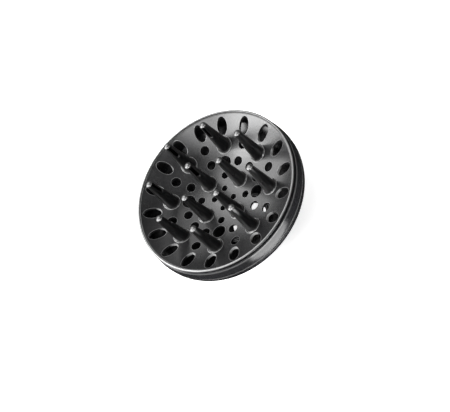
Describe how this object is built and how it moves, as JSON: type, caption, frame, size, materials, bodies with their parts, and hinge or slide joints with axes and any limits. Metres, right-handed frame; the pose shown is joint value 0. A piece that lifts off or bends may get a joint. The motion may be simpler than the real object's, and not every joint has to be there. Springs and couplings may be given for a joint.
{
  "type": "dryer diffuser",
  "caption": "Round concave diffuser head with hollow air prongs and rings of air holes on a bell housing with a swivel collar for a hair dryer's nozzle.",
  "frame": {"origin": "centre of the swivel collar's mouth, the lowest face, on the diffuser's axis", "axes": "+Z along the diffuser's axis, out of the dish and along the prongs; +X through prong_outer_1"},
  "size_m": [0.1676, 0.1676, 0.1078],
  "materials": {
    "graphite_plate": "graphite satin-gloss moulded plastic",
    "black_prong": "near-black satin moulded plastic",
    "black_gloss": "polished black side wall",
    "black_housing": "fine satin black moulded plastic",
    "soft_rubber": "matte black elastomer"
  },
  "bodies": {
    "head": {"rear_housing": "black_housing", "rim_band": "black_gloss", "joint_seal": "soft_rubber", "face_plate": "graphite_plate", "prong_outer_1": "black_prong", "prong_outer_2": "black_prong", "prong_outer_3": "black_prong", "prong_outer_4": "black_prong", "prong_outer_5": "black_prong", "prong_outer_6": "black_prong", "prong_outer_7": "black_prong", "prong_outer_8": "black_prong", "prong_inner_1": "black_prong", "prong_inner_2": "black_prong", "prong_inner_3": "black_prong", "prong_inner_4": "black_prong"},
    "coupling": {"swivel_collar": "black_housing", "grip_sleeve": "soft_rubber", "retaining_ring": "black_housing", "swivel_o_ring": "soft_rubber"}
  },
  "joints": [
    {"name": "collar_swivel", "type": "hinge", "parent": "head", "child": "coupling", "pos_m": [0, 0, 0.0073], "axis": [0, 0, 1], "continuous": true}
  ]
}
